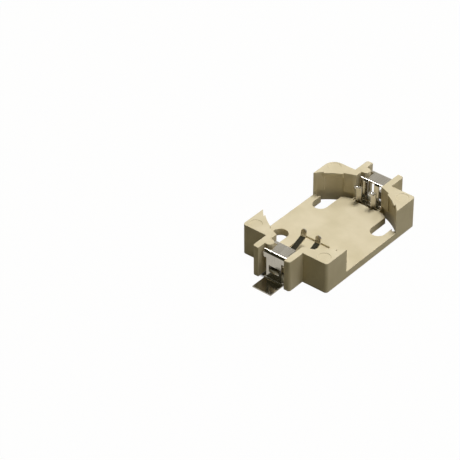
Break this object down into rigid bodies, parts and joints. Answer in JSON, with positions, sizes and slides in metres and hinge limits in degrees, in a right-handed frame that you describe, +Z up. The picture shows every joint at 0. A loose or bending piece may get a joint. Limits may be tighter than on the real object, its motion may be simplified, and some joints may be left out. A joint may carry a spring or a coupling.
{
  "type": "coin cell holder",
  "caption": "Open moulded holder that keeps a round coin cell flat on a circuit board, with a folded spring contact and a flat solder foot at each end.",
  "frame": {"origin": "middle of the footprint, on the board: the plane of the undersides of the two solder feet", "axes": "+X along the holder towards the end with the raised positive fingers, +Y across it to the side of the two lugs, +Z up off the board"},
  "size_m": [0.0326, 0.016, 0.0057],
  "materials": {
    "frame_plastic": "natural tan moulded plastic, satin",
    "spring_strip": "bright plated spring strip"
  },
  "bodies": {
    "root": {"holder_body": "frame_plastic", "positive_contact": "spring_strip", "negative_contact": "spring_strip"}
  },
  "joints": []
}
